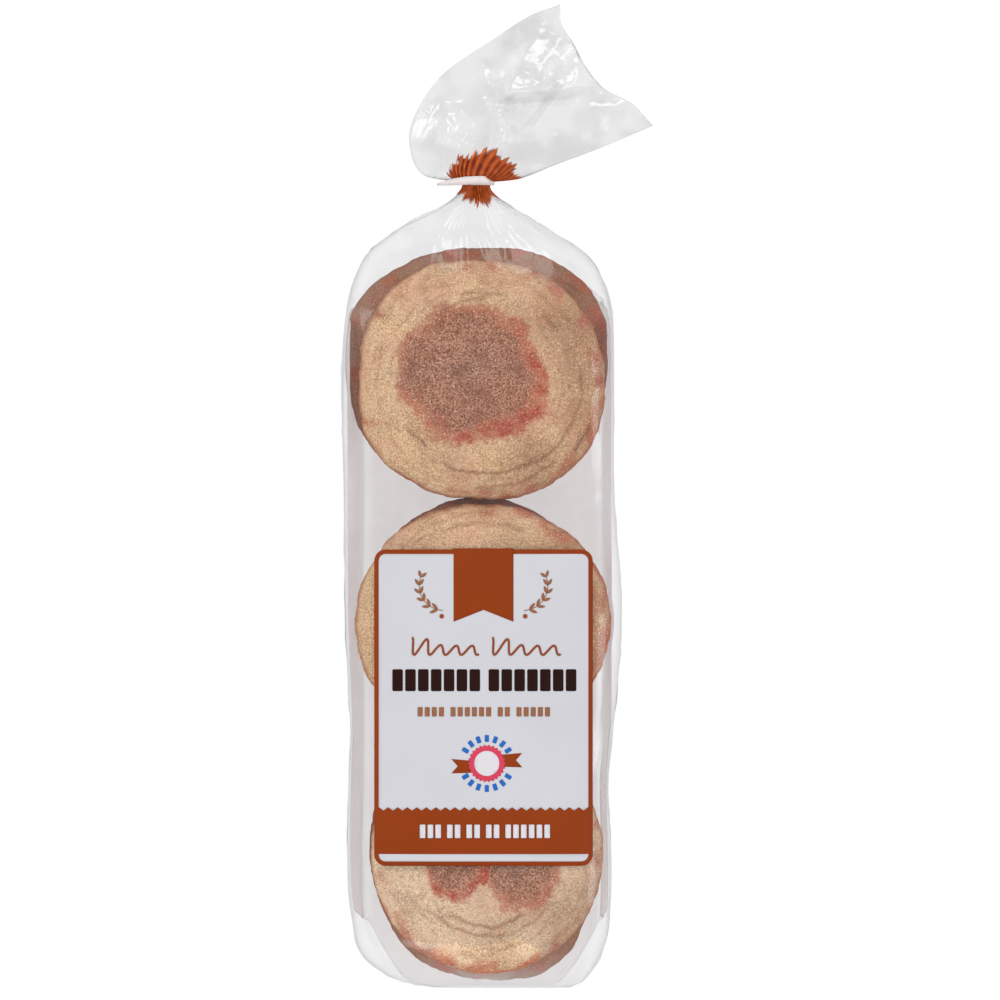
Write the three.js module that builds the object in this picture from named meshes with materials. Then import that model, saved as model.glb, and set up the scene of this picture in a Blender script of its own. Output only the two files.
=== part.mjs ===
// Sealed clear bag of six english muffins in a card tray, lying on its back
// with the label side up. Millimetres, +Z up, +Y towards the tied neck.
//
// The bag is one closed solid out to the film: a box-like body drawn over two
// layers of three muffins, a shoulder that gathers into a narrow neck, and the
// loose fan of film above the tie, which leans to +X. The tie is a flat plastic
// band round the neck with its trimmed ends pressed together on one side.
import * as THREE from 'three';
import { LoftGeometry } from 'three/addons/geometries/LoftGeometry.js';

// ---------------------------------------------------------------- driving sizes
const muffinDiameter = 90;
const muffinPitch = 86; // from one muffin's centre to the next along the bag
const layerHeight = 23.5; // one muffin, flat side to flat side
const bagHalfWidth = 49.5; // widest half of the filled bag
const bagHeight = 2 * layerHeight + 1.8; // two layers, tray floor and film

const firstMuffinY = 80; // centre of the muffin nearest the neck
const bottomEndY = -142; // closed end of the bag
const neckY = 152.5; // middle of the tied neck
const neckHeight = 21; // centre of the neck above the table
const neckHalfWidth = 7.2;
const neckHalfDepth = 5.6;
const neckStraight = 2.9; // half length of the neck's parallel stretch

const tieWidth = 3.8; // along the neck
const tieThickness = 0.9;
const tieClearance = 0.3; // to the neck all round
const tieTailLength = 17; // free ends beyond the neck, towards -X

const ringPoints = 44; // points round one section of the bag
const bodyRings = 46;
const tailRings = 15;
const sectionSquareness = 3.6; // exponent of the filled bag's rounded section
const lapBelowTable = 1.6; // how much of a full section its flat underside cuts off

// ------------------------------------------------------------------ body of the bag
// Each station: where it is along Y, the film's left and right edge there, its
// lowest and highest point, and the exponent of its section (2 is an ellipse).
const shoulderY = firstMuffinY + muffinDiameter / 2;
const bodyStations = [
  // y, left, right, low, high, exponent
  [bottomEndY, -29, 35, 9, 27, 2.4],
  [bottomEndY + 3, -36, 41, 3.2, 35, 2.6],
  [bottomEndY + 10, -42.5, 45, 0, 42.5, 3],
  [bottomEndY + 22, -46.5, 47.5, 0, bagHeight - 1.6, sectionSquareness],
  [bottomEndY + 46, -48, 48, 0, bagHeight, sectionSquareness],
  [firstMuffinY - 1.7 * muffinPitch, -47.7, 47.3, 0, bagHeight - 1.4, sectionSquareness],
  [firstMuffinY - 1.5 * muffinPitch, -47.2, 48.8, 0, bagHeight - 2.4, sectionSquareness],
  [firstMuffinY - muffinPitch, -48.8, 52, 0, bagHeight, sectionSquareness],
  [firstMuffinY - 0.5 * muffinPitch, -bagHalfWidth, bagHalfWidth, 0, bagHeight - 2.2, sectionSquareness],
  [firstMuffinY, -50.1, 49, 0, bagHeight, sectionSquareness],
  [shoulderY - 22, -48.8, 48.6, 0, bagHeight - 0.6, sectionSquareness],
  [shoulderY - 9, -46, 45.5, 0, bagHeight - 3.5, 3.2],
  [shoulderY + 2, -40, 38, 1.2, bagHeight - 8, 2.8],
  [shoulderY + 12, -27, 22, 7, bagHeight - 14.5, 2.3],
  [neckY - neckStraight - 4.5, -13.5, 10, 13, 30, 2],
  [neckY - neckStraight, -neckHalfWidth, neckHalfWidth, neckHeight - neckHalfDepth,
    neckHeight + neckHalfDepth, 2],
];

// A closed section: a superellipse standing in a plane of constant Y, or across a
// given direction, with everything under the table line pressed flat.
function sectionPoint(angle, exponent) {
  const c = Math.cos(angle);
  const s = Math.sin(angle);
  return new THREE.Vector2(
    Math.sign(c) * Math.abs(c) ** (2 / exponent),
    Math.sign(s) * Math.abs(s) ** (2 / exponent),
  );
}

function bodySection(y, left, right, low, high, exponent) {
  const pressed = low < lapBelowTable ? lapBelowTable - low : 0;
  const floor = low - pressed;
  const points = [];
  for (let i = 0; i < ringPoints; i += 1) {
    const unit = sectionPoint((2 * Math.PI * i) / ringPoints, exponent);
    const x = THREE.MathUtils.lerp(left, right, (1 + unit.x) / 2);
    const z = THREE.MathUtils.lerp(floor, high, (1 + unit.y) / 2);
    points.push(new THREE.Vector3(x, y, Math.max(z, Math.max(low, 0))));
  }
  return points;
}

function bodySections() {
  const positions = bodyStations.map((station) => station[0]);
  const values = bodyStations.flatMap((station) => station.slice(1));
  const along = new THREE.CubicInterpolant(positions, values, 5);
  const start = positions[0];
  const span = positions[positions.length - 1] - start;
  const sections = [];
  for (let i = 0; i < bodyRings; i += 1) {
    // rings crowd towards both ends, where the form turns fastest
    const even = i / (bodyRings - 1);
    const eased = (1 - Math.cos(Math.PI * even)) / 2;
    const y = start + span * THREE.MathUtils.lerp(even, eased, 0.55);
    const [left, right, low, high, exponent] = along.evaluate(y);
    sections.push(bodySection(y, left, right, Math.max(low, 0), high, exponent));
  }
  return sections;
}

// --------------------------------------------------------------- fan above the tie
// The fan's two side edges leave the neck and run to the two tips of the bag's
// open end; a section joins them at each step, thick in the middle and thin at
// its edges, and bowed back towards the neck near the open end.
const leftEdge = new THREE.CatmullRomCurve3([
  new THREE.Vector3(-neckHalfWidth, neckY + neckStraight, neckHeight),
  new THREE.Vector3(-17, neckY + 5.6, neckHeight),
  new THREE.Vector3(-24.6, neckY + 18, neckHeight + 1),
  new THREE.Vector3(-19, neckY + 36, neckHeight + 2),
  new THREE.Vector3(-3, neckY + 53, neckHeight + 2),
  new THREE.Vector3(15, neckY + 62.5, neckHeight + 1),
  new THREE.Vector3(30.5, neckY + 65.5, neckHeight),
]);
const rightEdge = new THREE.CatmullRomCurve3([
  new THREE.Vector3(neckHalfWidth, neckY + neckStraight, neckHeight),
  new THREE.Vector3(15.5, neckY + 5, neckHeight),
  new THREE.Vector3(27, neckY + 9.3, neckHeight),
  new THREE.Vector3(45, neckY + 15, neckHeight - 1),
  new THREE.Vector3(63.5, neckY + 21, neckHeight - 2),
]);
const fanThickness = [
  // how far along the fan, full thickness there
  [0, 2 * neckHalfDepth],
  [0.12, 15],
  [0.35, 24],
  [0.6, 25],
  [0.85, 19],
  [1, 11],
];
const mouthBow = 8; // how far the open end's middle is drawn back

function tailSections() {
  const thicknessAlong = new THREE.CubicInterpolant(
    fanThickness.map((station) => station[0]),
    fanThickness.map((station) => station[1]),
    1,
  );
  const middle = new THREE.Vector3();
  const sections = [];
  for (let i = 1; i <= tailRings; i += 1) {
    const t = (i / tailRings) ** 1.15;
    const left = leftEdge.getPoint(t);
    const right = rightEdge.getPoint(t);
    const across = new THREE.Vector3().subVectors(right, left).multiplyScalar(0.5);
    const back = new THREE.Vector3(across.y, -across.x, 0).normalize();
    middle.addVectors(left, right).multiplyScalar(0.5);
    const halfThickness = thicknessAlong.evaluate(t)[0] / 2;
    const points = [];
    for (let j = 0; j < ringPoints; j += 1) {
      const unit = sectionPoint((2 * Math.PI * j) / ringPoints, 2);
      const bow = mouthBow * t ** 3 * (1 - unit.x ** 2);
      const point = middle.clone().addScaledVector(across, unit.x).addScaledVector(back, bow);
      point.z += unit.y * halfThickness;
      points.push(point);
    }
    sections.push(points);
  }
  return sections;
}

function neckSections() {
  const sections = [];
  for (const y of [neckY - tieWidth / 2, neckY + tieWidth / 2, neckY + neckStraight]) {
    sections.push(bodySection(y, -neckHalfWidth, neckHalfWidth, neckHeight - neckHalfDepth,
      neckHeight + neckHalfDepth, 2));
  }
  return sections;
}

function makeBag() {
  const sections = [...bodySections(), ...neckSections(), ...tailSections()];
  const counterclockwise = sections.map((points) => points.slice().reverse());
  const geometry = new LoftGeometry(counterclockwise, { capStart: true, capEnd: true });
  const film = new THREE.MeshStandardMaterial({ color: 0xe9e9eb, roughness: 0.25, metalness: 0 });
  const mesh = new THREE.Mesh(geometry, film);
  mesh.name = 'bag';
  return mesh;
}

// ----------------------------------------------------------------------------- tie
// The band's outline seen along the neck: an oval ring whose two ends run off
// together to -X as one flat tail with a slanted cut.
const ovalSteps = 40;
const tailLeaves = 0.62 * Math.PI; // where on the oval the tail's upper face leaves it
const tailGap = 0.62; // how much of the oval the tail's root takes up

function ovalArc(halfWidth, halfHeight, from, sweep) {
  return Array.from({ length: ovalSteps }, (_, i) => {
    const angle = from + (i / ovalSteps) * sweep;
    return new THREE.Vector2(halfWidth * Math.cos(angle), halfHeight * Math.sin(angle));
  });
}

function makeTie() {
  const innerWidth = neckHalfWidth + tieClearance;
  const innerHeight = neckHalfDepth + tieClearance;
  const outerWidth = innerWidth + tieThickness;
  const outerHeight = innerHeight + tieThickness;
  const tailUnderside = outerHeight - 2 * tieThickness; // two ends pressed together
  const outline = new THREE.Shape([
    ...ovalArc(outerWidth, outerHeight, tailLeaves, tailGap - 2 * Math.PI),
    new THREE.Vector2(-outerWidth - 3, tailUnderside - 0.6),
    new THREE.Vector2(-tieTailLength, tailUnderside - 0.4),
    new THREE.Vector2(-tieTailLength - 1, outerHeight - 0.4),
    new THREE.Vector2(-outerWidth, outerHeight - 0.1),
  ]);
  outline.holes.push(new THREE.Path(ovalArc(innerWidth, innerHeight, 0, 2 * Math.PI)));
  const geometry = new THREE.ExtrudeGeometry(outline, { depth: tieWidth, bevelEnabled: false });
  const plastic = new THREE.MeshStandardMaterial({ color: 0xdcd4d1, roughness: 0.45, metalness: 0 });
  const mesh = new THREE.Mesh(geometry, plastic);
  mesh.name = 'tie';
  mesh.rotation.x = Math.PI / 2; // the outline stands across the neck
  mesh.position.set(0, neckY + tieWidth / 2, neckHeight);
  return mesh;
}

const pack = new THREE.Group();
pack.add(makeBag(), makeTie());

export default pack;
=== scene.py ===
"""Sealed clear bag of six english muffins in a card tray, tied at the neck.

The pack lies on its back with its label up: +Z is up, +Y runs towards the tied
neck, and +X is to the right. Every size below is in millimetres, and a piece is
turned to metres as its mesh is finished. The film, the tray, the muffins and the
printed label take the place of the frame's solid bag, and a wound band takes the
place of its tie.
"""

from __future__ import annotations

import logging
import math
import sys
from collections.abc import Callable, Iterable, Sequence
from dataclasses import dataclass
from enum import Enum

import bmesh
import bpy
from mathutils import Matrix, Vector, noise

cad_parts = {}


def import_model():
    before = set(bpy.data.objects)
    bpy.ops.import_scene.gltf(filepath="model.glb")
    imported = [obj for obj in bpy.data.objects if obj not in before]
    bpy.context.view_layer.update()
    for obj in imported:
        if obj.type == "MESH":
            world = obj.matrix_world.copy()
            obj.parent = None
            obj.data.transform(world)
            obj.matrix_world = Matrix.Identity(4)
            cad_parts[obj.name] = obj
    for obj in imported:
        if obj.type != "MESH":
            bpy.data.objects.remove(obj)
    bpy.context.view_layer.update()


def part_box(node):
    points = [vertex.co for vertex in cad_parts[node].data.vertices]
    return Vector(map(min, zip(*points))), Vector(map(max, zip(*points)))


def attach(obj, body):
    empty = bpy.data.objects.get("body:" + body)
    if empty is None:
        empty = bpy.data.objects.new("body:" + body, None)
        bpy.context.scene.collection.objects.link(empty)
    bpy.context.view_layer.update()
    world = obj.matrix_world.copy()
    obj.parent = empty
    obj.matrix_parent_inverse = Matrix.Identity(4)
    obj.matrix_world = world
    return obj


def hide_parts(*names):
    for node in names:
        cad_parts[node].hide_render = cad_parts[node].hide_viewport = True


LOG = logging.getLogger("muffin_pack")
MM = 0.001


class Slot(Enum):
    """The record's material slots."""

    FILM = "clear_film"
    TIE = "tie_plastic"
    CRUST = "muffin_crust"
    CARD = "tray_card"
    PRINT = "label_print"


# ------------------------------------------------------------------ small maths


def clamp01(value: float) -> float:
    """The value held between 0 and 1."""
    return min(1.0, max(0.0, value))


def smooth_step(low: float, high: float, value: float) -> float:
    """A smooth rise from 0 at low to 1 at high."""
    t = clamp01((value - low) / (high - low))
    return t * t * (3.0 - 2.0 * t)


def mix(a: float, b: float, t: float) -> float:
    """The value that lies a share t of the way from a to b."""
    return a + (b - a) * t


def dome(unit: float, power: float) -> float:
    """Half height of a rounded box of half size 1, a share unit of the way out to its side."""
    return max(0.0, 1.0 - abs(unit) ** power) ** (1 / power)


def box_point(turn: float, power: float) -> tuple[float, float]:
    """The point of a rounded box of half size 1 at an angle in radians."""
    c, s = math.cos(turn), math.sin(turn)
    return math.copysign(abs(c) ** (2 / power), c), math.copysign(abs(s) ** (2 / power), s)


def ridge(point: Vector, sharpness: float = 3.0) -> float:
    """Thin crests where smooth noise passes through zero.

    Args:
        point: Place in the noise, already divided by the size of its cells.
        sharpness: How narrow the crests are.

    Returns:
        1 on a crest, falling to 0 between crests.
    """
    return clamp01(1.0 - sharpness * abs(noise.noise(point)))


def through_points(places: Sequence[float], values: Sequence[float], at: float) -> float:
    """A smooth curve through values at rising places.

    Args:
        places: Rising positions of the values.
        values: The value at each place.
        at: Where to read the curve.

    Returns:
        The curve's value there, held at its first and last value outside them.
    """
    if at <= places[0]:
        return values[0]
    if at >= places[-1]:
        return values[-1]
    i = max(k for k in range(len(places) - 1) if places[k] <= at)

    def slope(k: int) -> float:
        """The curve's slope at place k."""
        a, b = max(k - 1, 0), min(k + 1, len(places) - 1)
        return (values[b] - values[a]) / (places[b] - places[a])

    span = places[i + 1] - places[i]
    t = (at - places[i]) / span
    rise = values[i + 1] - values[i]
    start, end = slope(i) * span, slope(i + 1) * span
    return values[i] + t * (start + t * (3 * rise - 2 * start - end + t * (start + end - 2 * rise)))


def round_curve(radii: Sequence[float], angle: float) -> float:
    """A smooth closed outline through radii evenly spaced round a turn.

    Args:
        radii: The radii, the first at angle 0.
        angle: Where to read the outline, in radians.

    Returns:
        The radius there.
    """
    count = len(radii)
    place = (angle / math.tau * count) % count
    i = int(place)
    t = place - i
    a, b, c, d = (radii[(i + k) % count] for k in (-1, 0, 1, 2))
    return b + 0.5 * t * (c - a + t * (2 * a - 5 * b + 4 * c - d + t * (3 * (b - c) + d - a)))


# ------------------------------------------------------------- node and mesh help


def linear(code: str) -> tuple[float, float, float, float]:
    """An sRGB hex colour as linear red, green, blue and alpha."""
    parts = [int(code[i : i + 2], 16) / 255 for i in (1, 3, 5)]
    r, g, b = (c / 12.92 if c <= 0.04045 else ((c + 0.055) / 1.055) ** 2.4 for c in parts)
    return (r, g, b, 1.0)


def add(tree: bpy.types.NodeTree, kind: str, inputs: dict | None = None, **settings) -> bpy.types.Node:
    """Add a node with its settings and links.

    Args:
        tree: The node tree.
        kind: Blender's name for the node.
        inputs: Each input's name or number, with a value or the socket that feeds it.
        **settings: The node's own properties.

    Returns:
        The new node.
    """
    node = tree.nodes.new(kind)
    for name, value in settings.items():
        setattr(node, name, value)
    for name, value in (inputs or {}).items():
        if isinstance(value, bpy.types.NodeSocket):
            tree.links.new(value, node.inputs[name])
        else:
            node.inputs[name].default_value = value
    return node


def new_material(name: str) -> tuple[bpy.types.Material, bpy.types.NodeTree, bpy.types.Node]:
    """An empty node material, its tree and its output node."""
    material = bpy.data.materials.new(name)
    material.use_nodes = True
    tree = material.node_tree
    tree.nodes.clear()
    return material, tree, add(tree, "ShaderNodeOutputMaterial")


def two_tone(
    tree: bpy.types.NodeTree, size_mm: float, detail: float, shade: str, colour: str
) -> tuple[bpy.types.NodeSocket, bpy.types.NodeSocket]:
    """A colour that drifts softly between two close tones.

    Args:
        tree: The node tree.
        size_mm: About how large the drifts are.
        detail: How many finer levels they have.
        shade: The darker tone, as sRGB hex.
        colour: The lighter tone, as sRGB hex.

    Returns:
        The colour, and the noise that it follows.
    """
    place = add(tree, "ShaderNodeTexCoord").outputs["Object"]
    noise_fac = add(tree, "ShaderNodeTexNoise", {
        "Vector": place, "Scale": 1 / (size_mm * MM), "Detail": detail,
    }).outputs["Fac"]
    tone = add(tree, "ShaderNodeMix", {0: noise_fac, 6: linear(shade), 7: linear(colour)}, data_type="RGBA")
    return tone.outputs[2], noise_fac


def sweep(rows: int, around: int, place: Callable[[int, float], Vector], caps: bool) -> bmesh.types.BMesh:
    """Extrude a ring of edges row by row along a form.

    Args:
        rows: Number of rings.
        around: Number of vertices in a ring.
        place: Gives the point for a row number and a share of a turn.
        caps: Whether the first and last ring are closed with a face.

    Returns:
        The swept mesh, in millimetres.
    """
    bm = bmesh.new()
    share = bm.verts.layers.float.new("share")
    ring = bmesh.ops.create_circle(bm, cap_ends=caps, segments=around, radius=1.0)["verts"]
    for vert in ring:
        vert[share] = (math.atan2(vert.co.y, vert.co.x) / math.tau) % 1.0
        vert.co = place(0, vert[share])
    edges = [e for e in bm.edges if e.is_boundary or e.is_wire or caps]
    for row in range(1, rows):
        made = bmesh.ops.extrude_edge_only(bm, edges=edges)["geom"]
        edges = [g for g in made if isinstance(g, bmesh.types.BMEdge) and (g.is_boundary or g.is_wire)]
        for vert in (g for g in made if isinstance(g, bmesh.types.BMVert)):
            vert.co = place(row, vert[share])
    if caps:
        bmesh.ops.contextual_create(bm, geom=edges)
    bmesh.ops.recalc_face_normals(bm, faces=bm.faces)
    return bm


def finish_piece(
    bm: bmesh.types.BMesh, name: str, materials: Iterable[bpy.types.Material], slot: Slot
) -> bpy.types.Object:
    """Turn a mesh in millimetres into a smooth piece in metres that rides on the pack.

    Args:
        bm: The mesh, which is freed.
        name: The piece's name.
        materials: Its materials, in order.
        slot: The record's slot that its finish belongs to; not used.

    Returns:
        The new object, at the origin.
    """
    bmesh.ops.scale(bm, vec=(MM, MM, MM), verts=bm.verts)
    mesh = bpy.data.meshes.new(name)
    for face in bm.faces:
        face.smooth = True
    bm.to_mesh(mesh)
    bm.free()
    piece = bpy.data.objects.new(name, mesh)
    bpy.context.scene.collection.objects.link(piece)
    for material in materials:
        mesh.materials.append(material)
    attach(piece, "root")
    LOG.info("%s: %d faces", name, len(mesh.polygons))
    return piece


# ---------------------------------------------------------------------- finishes


@dataclass(frozen=True)
class BakedCrust:
    """Whole wheat crust, cooked on a griddle and dusted with coarse meal.

    Dry and matte: a tan skin, mealy with bran, a red-brown toasted patch where it lay
    on the griddle with a redder border, and pale grains over all of it. Grains are
    drawn at about 0.8 mm, coarser than real meal, so that they show.
    """

    name: str
    skin_light: str = "#ecca9f"
    skin_dark: str = "#b5845d"
    skin_pink: str = "#dfaa8b"
    # painted shade: the darker side of the crust
    skin_side_shade: str = "#8f5a36"
    toast_light: str = "#d39a7a"
    toast_dark: str = "#653122"
    toast_deep: str = "#7a4028"
    blush_light: str = "#cc6444"
    blush_dark: str = "#922f1b"
    # the side's toasted tone, partly painted glow and shade at the edge
    rim: str = "#ad6a42"
    # the cracks' own dark tone, also used as painted shade in creases, wrinkles and hollows
    crack_and_shade: str = "#855035"
    meal: str = "#f4e3c7"
    cloud_mm: float = 9.0
    drift_mm: float = 15.0
    grain_mm: float = 0.62
    speck_mm: float = 0.7
    vein_mm: float = 3.2
    roughness: float = 0.85

    def build(self) -> bpy.types.Material:
        """Make the material.

        Returns:
            The material, which reads the piece's toast, blush and rim attributes and two that carry painted
            shade: one in creases, wrinkles and hollows, one on a side of the muffin. The rim tone is partly
            painted glow and shade.
        """
        material, tree, output = new_material(self.name)
        place = add(tree, "ShaderNodeTexCoord").outputs["Object"]
        read = {
            name: add(tree, "ShaderNodeAttribute", attribute_name=name).outputs["Fac"]
            for name in ("toast", "blush", "rim", "crack_and_shade", "side_shade")
        }

        def pattern(size_mm: float, detail: float, rough: float, **settings: object) -> bpy.types.NodeSocket:
            """Noise whose cells are about size_mm across."""
            return add(tree, "ShaderNodeTexNoise", {
                "Vector": place, "Scale": 1 / (size_mm * MM), "Detail": detail, "Roughness": rough,
            }, **settings).outputs["Fac"]

        def blend(fac: object, a: object, b: object) -> bpy.types.NodeSocket:
            """The colour b laid over a by fac."""
            node = add(tree, "ShaderNodeMix", {0: fac, 6: a, 7: b}, data_type="RGBA")
            return node.outputs[2]

        def spread(value: object, low: float, high: float, top: float = 1.0) -> bpy.types.NodeSocket:
            """The value stretched from low..high to 0..top."""
            return add(tree, "ShaderNodeMapRange", {
                "Value": value, "From Min": low, "From Max": high, "To Max": top,
            }).outputs["Result"]

        cloud = pattern(self.cloud_mm, 3.0, 0.6)
        drift = pattern(self.drift_mm, 1.0, 0.5)
        grain = pattern(self.grain_mm, 1.5, 0.6)
        speck = pattern(self.speck_mm, 3.0, 0.75)
        vein = pattern(self.vein_mm, 2.0, 0.5)
        off_middle = add(tree, "ShaderNodeMath", {0: vein, 1: 0.5}, operation="SUBTRACT").outputs[0]
        thin = add(tree, "ShaderNodeMath", {0: off_middle}, operation="ABSOLUTE").outputs[0]

        skin_grain = blend(spread(grain, 0.34, 0.64), linear(self.skin_dark), linear(self.skin_light))
        skin = blend(spread(cloud, 0.35, 0.7, 0.4), skin_grain, linear(self.skin_light))
        skin = blend(spread(drift, 0.46, 0.62, 0.4), skin, linear(self.skin_pink))
        # painted shade: the crust is darker towards one side of each muffin
        skin = blend(spread(read["side_shade"], 0.0, 1.0, 0.8), skin, linear(self.skin_side_shade))
        toast_grain = blend(spread(speck, 0.385, 0.615), linear(self.toast_dark), linear(self.toast_light))
        toast_grain = blend(spread(cloud, 0.52, 0.34, 0.6), toast_grain, linear(self.toast_deep))
        toast_grain = blend(spread(vein, 0.48, 0.3, 0.55), toast_grain, linear(self.toast_deep))
        blush = blend(spread(speck, 0.4, 0.62), linear(self.blush_dark), linear(self.blush_light))
        # rim band: the crust's toasted side, partly painted glow and shade at the edge
        colour = blend(read["rim"], skin, linear(self.rim))
        colour = blend(read["toast"], colour, toast_grain)
        colour = blend(read["blush"], colour, blush)
        # painted shade in creases, wrinkles and low cobbles, on the cracks' own darker tone; the same tone
        # also draws thin veins and bran specks
        colour = blend(read["crack_and_shade"], colour, linear(self.crack_and_shade))
        colour = blend(spread(thin, 0.018, 0.0, 0.3), colour, linear(self.crack_and_shade))
        colour = blend(spread(grain, 0.38, 0.28, 0.4), colour, linear(self.crack_and_shade))
        colour = blend(spread(grain, 0.6, 0.72, 0.55), colour, linear(self.meal))
        height = add(tree, "ShaderNodeMath", {0: speck, 1: grain}, operation="ADD").outputs[0]
        bump = add(tree, "ShaderNodeBump", {
            "Height": height, "Strength": 0.7, "Distance": 0.4 * MM,
        }).outputs["Normal"]
        shader = add(tree, "ShaderNodeBsdfPrincipled", {
            "Base Color": colour, "Roughness": self.roughness, "Normal": bump,
            "Specular IOR Level": 0.2,
        })
        tree.links.new(shader.outputs[0], output.inputs["Surface"])
        return material


@dataclass(frozen=True)
class PrintedInk:
    """Gravure ink on film: a flat opaque colour, half matte."""

    name: str
    colour: str
    shade: str
    cloud_mm: float = 28.0
    roughness: float = 0.5

    def build(self) -> bpy.types.Material:
        """Make the material, with the faint unevenness of a printed flat."""
        material, tree, output = new_material(self.name)
        tone, _ = two_tone(tree, self.cloud_mm, 2.0, self.shade, self.colour)
        shader = add(tree, "ShaderNodeBsdfPrincipled", {
            "Base Color": tone, "Roughness": self.roughness, "Specular IOR Level": 0.12,
        })
        tree.links.new(shader.outputs[0], output.inputs["Surface"])
        return material


@dataclass(frozen=True)
class ClearFilm:
    """Cast polypropylene film, 35 micrometres: clear, glossy and faintly grey.

    It mirrors a twentieth of the light straight on and most of it at a slant, where the
    longer way through the film also greys what lies behind. Where the piece's ink
    attribute is set the film carries the brown printed band, toned by the fold
    attribute: painted shade in the pleats' valleys and painted highlight on their crests.
    """

    name: str
    tint: str = "#f8f8f9"
    tint_at_edge: str = "#86868c"
    mirror: float = 0.045
    mirror_at_edge: float = 0.78
    gloss_roughness: float = 0.14
    wrinkle_mm: float = 9.0
    wrinkle_deep_mm: float = 0.26
    haze: float = 0.04
    haze_grey: str = "#a9a9ae"
    haze_mm: float = 13.0
    # painted highlight on the printed band's pleat crests
    ink_crest_highlight: str = "#e88043"
    ink_light: str = "#bb5820"
    ink_middle: str = "#963d13"
    # painted shade in the printed band's pleat valleys
    ink_pleat_shade: str = "#551404"

    def build(self) -> bpy.types.Material:
        """Make the material, which reads the piece's ink and fold attributes; the fold attribute paints shade
        and highlight into the printed band.
        """
        material, tree, output = new_material(self.name)
        place = add(tree, "ShaderNodeTexCoord").outputs["Object"]
        wrinkle, cloud = (
            add(tree, "ShaderNodeTexNoise", {
                "Vector": place, "Scale": 1 / (size * MM), "Detail": detail,
            }).outputs["Fac"]
            for size, detail in ((self.wrinkle_mm, 2.5), (self.haze_mm, 1.0))
        )
        uneven = add(tree, "ShaderNodeBump", {
            "Height": wrinkle, "Strength": 1.0, "Distance": self.wrinkle_deep_mm * MM,
        }).outputs["Normal"]
        facing = add(tree, "ShaderNodeLayerWeight", {"Blend": 0.5}).outputs["Facing"]
        edge = add(tree, "ShaderNodeMath", {0: facing, 1: 6.0}, operation="POWER").outputs[0]
        depth = add(tree, "ShaderNodeMix", {
            0: edge, 6: linear(self.tint), 7: linear(self.tint_at_edge),
        }, data_type="RGBA").outputs[2]
        clear = add(tree, "ShaderNodeBsdfTransparent", {"Color": depth})
        dull = add(tree, "ShaderNodeBsdfDiffuse", {"Color": linear(self.haze_grey)})
        share = add(tree, "ShaderNodeMapRange", {
            "Value": cloud, "From Min": 0.42, "From Max": 0.62, "To Max": self.haze,
        }).outputs["Result"]
        hazy = add(tree, "ShaderNodeMixShader", {0: share, 1: clear.outputs[0], 2: dull.outputs[0]})
        gloss = add(tree, "ShaderNodeBsdfGlossy", {
            "Color": (1.0, 1.0, 1.0, 1.0), "Roughness": self.gloss_roughness, "Normal": uneven,
        })
        slant = add(tree, "ShaderNodeMath", {0: facing, 1: 4.0}, operation="POWER").outputs[0]
        mirror = add(tree, "ShaderNodeMapRange", {
            "Value": slant, "To Min": self.mirror, "To Max": self.mirror_at_edge,
        }).outputs["Result"]
        film = add(tree, "ShaderNodeMixShader", {0: mirror, 1: hazy.outputs[0], 2: gloss.outputs[0]})
        ink = add(tree, "ShaderNodeAttribute", attribute_name="ink")
        fold = add(tree, "ShaderNodeAttribute", attribute_name="fold")
        # painted shade in the pleats' valleys and painted highlight on their crests, following the fold
        # attribute
        tone = add(tree, "ShaderNodeValToRGB", {"Fac": fold.outputs["Fac"]})
        stops = tone.color_ramp.elements
        stops[0].color, stops[1].color = linear(self.ink_pleat_shade), linear(self.ink_crest_highlight)
        stops.new(0.4).color = linear(self.ink_middle)
        stops.new(0.86).color = linear(self.ink_light)
        printed = add(tree, "ShaderNodeBsdfPrincipled", {
            "Base Color": tone.outputs["Color"], "Roughness": 0.4, "Specular IOR Level": 0.25,
        })
        both = add(tree, "ShaderNodeMixShader", {
            0: ink.outputs["Fac"], 1: film.outputs[0], 2: printed.outputs[0],
        })
        tree.links.new(both.outputs[0], output.inputs["Surface"])
        return material


@dataclass(frozen=True)
class TrayBoard:
    """White paperboard, die-cut and folded: matte, with a faint fibre tooth.

    It is thin enough to glow a little where light falls on its far side.
    """

    name: str = "paperboard_folded"
    colour: str = "#fdfcfc"
    shade: str = "#f9f6f5"
    fibre_mm: float = 1.4
    see_through: float = 0.9
    see_through_wall: float = 0.7

    def build(self) -> bpy.types.Material:
        """Make the material, which reads the piece's crease and wall attributes; the crease paints a
        highlight along each fold.
        """
        material, tree, output = new_material(self.name)
        tone, fibre = two_tone(tree, self.fibre_mm, 3.0, self.shade, self.colour)
        crease = add(tree, "ShaderNodeAttribute", attribute_name="crease")
        # painted highlight: the board is lightened to white along each fold
        board = add(tree, "ShaderNodeMix", {
            0: crease.outputs["Fac"], 6: tone, 7: (1.0, 1.0, 1.0, 1.0),
        }, data_type="RGBA").outputs[2]
        bump = add(tree, "ShaderNodeBump", {"Height": fibre, "Strength": 0.15, "Distance": 0.1 * MM})
        shader = add(tree, "ShaderNodeBsdfPrincipled", {
            "Base Color": board, "Roughness": 0.7, "Normal": bump.outputs["Normal"],
            "Specular IOR Level": 0.3,
        })
        glow = add(tree, "ShaderNodeBsdfTranslucent", {"Color": board})
        wall = add(tree, "ShaderNodeAttribute", attribute_name="wall")
        through = add(tree, "ShaderNodeMapRange", {
            "Value": wall.outputs["Fac"], "To Min": self.see_through, "To Max": self.see_through_wall,
        }).outputs["Result"]
        both = add(tree, "ShaderNodeMixShader", {0: through, 1: shader.outputs[0], 2: glow.outputs[0]})
        tree.links.new(both.outputs[0], output.inputs["Surface"])
        return material


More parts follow.
